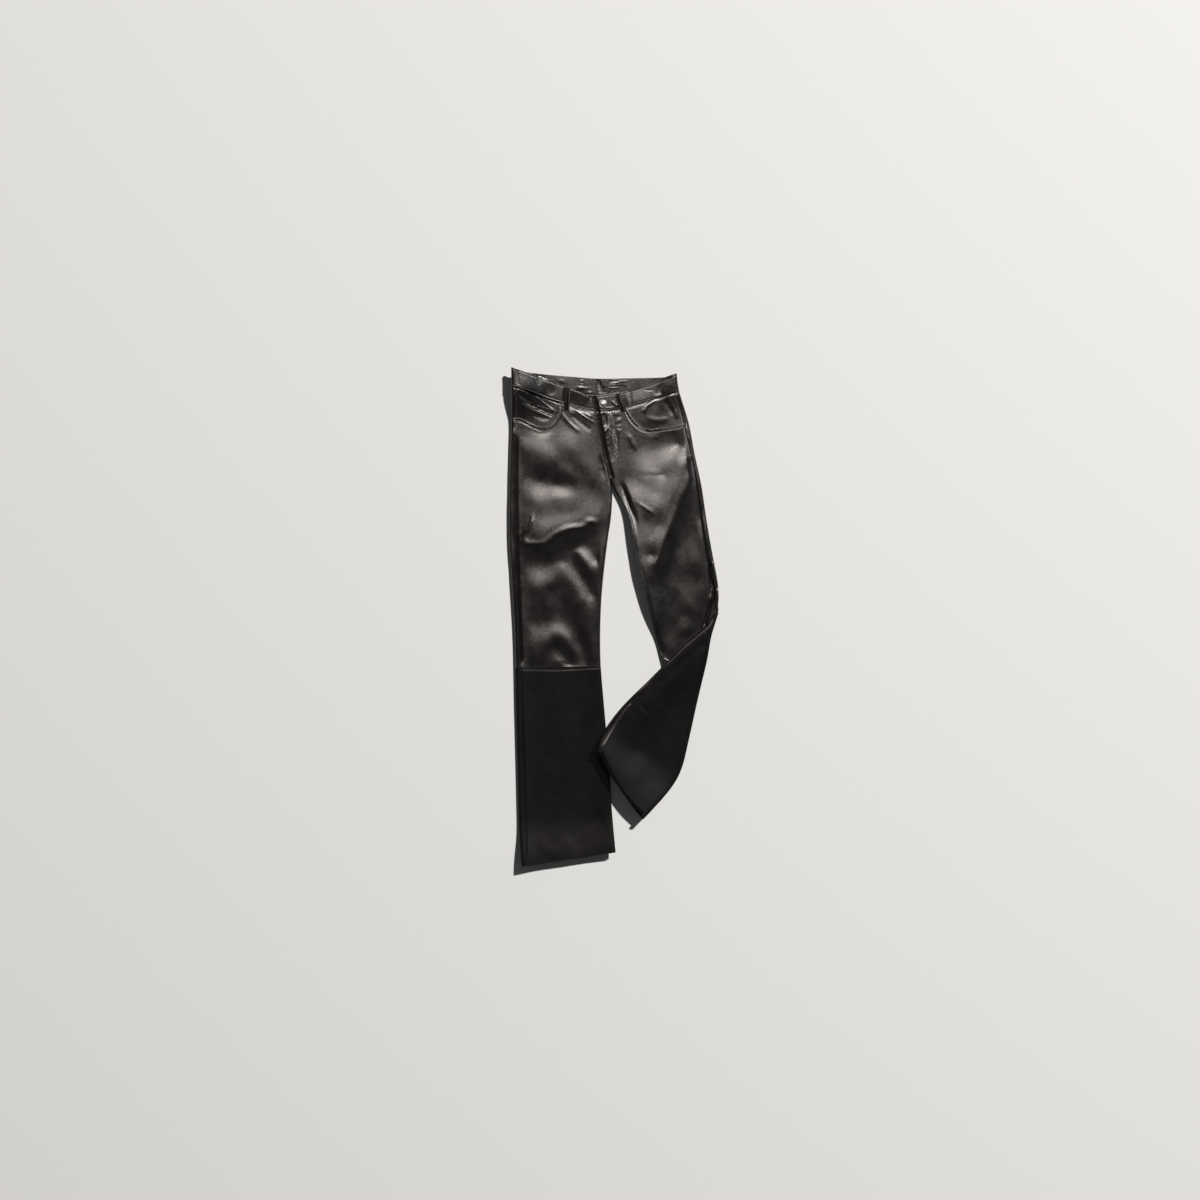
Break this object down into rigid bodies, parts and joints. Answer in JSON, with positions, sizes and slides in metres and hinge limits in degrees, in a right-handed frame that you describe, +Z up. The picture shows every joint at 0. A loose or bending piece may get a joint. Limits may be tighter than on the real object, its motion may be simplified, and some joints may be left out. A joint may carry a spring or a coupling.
{
  "type": "leather trousers laid flat",
  "caption": "Straight-cut black leather trousers with scooped front pockets, laid flat front up with one leg pleated over at the knee.",
  "frame": {"origin": "on the floor under the middle of the garment's box", "axes": "+Y along the garment towards the waist, +X towards the wearer's left, +Z up out of the front"},
  "size_m": [0.4475, 1.0598, 0.037],
  "materials": {
    "black_leather": "fine-grained black leather with a soft gloss",
    "button_metal": "dark polished steel"
  },
  "bodies": {
    "root": {"front_thigh_right": "black_leather", "front_thigh_left": "black_leather", "front_calf_right": "black_leather", "front_calf_left": "black_leather", "back_thigh_right": "black_leather", "back_thigh_left": "black_leather", "back_calf_right": "black_leather", "back_calf_left": "black_leather", "knee_fold_left": "black_leather", "waistband_right": "black_leather", "waistband_left": "black_leather", "waistband_facing_right": "black_leather", "waistband_facing_left": "black_leather", "pocket_facing_right": "black_leather", "pocket_facing_left": "black_leather", "coin_pocket": "black_leather", "belt_loop_right": "black_leather", "belt_loop_left": "black_leather", "button": "button_metal"}
  },
  "joints": []
}
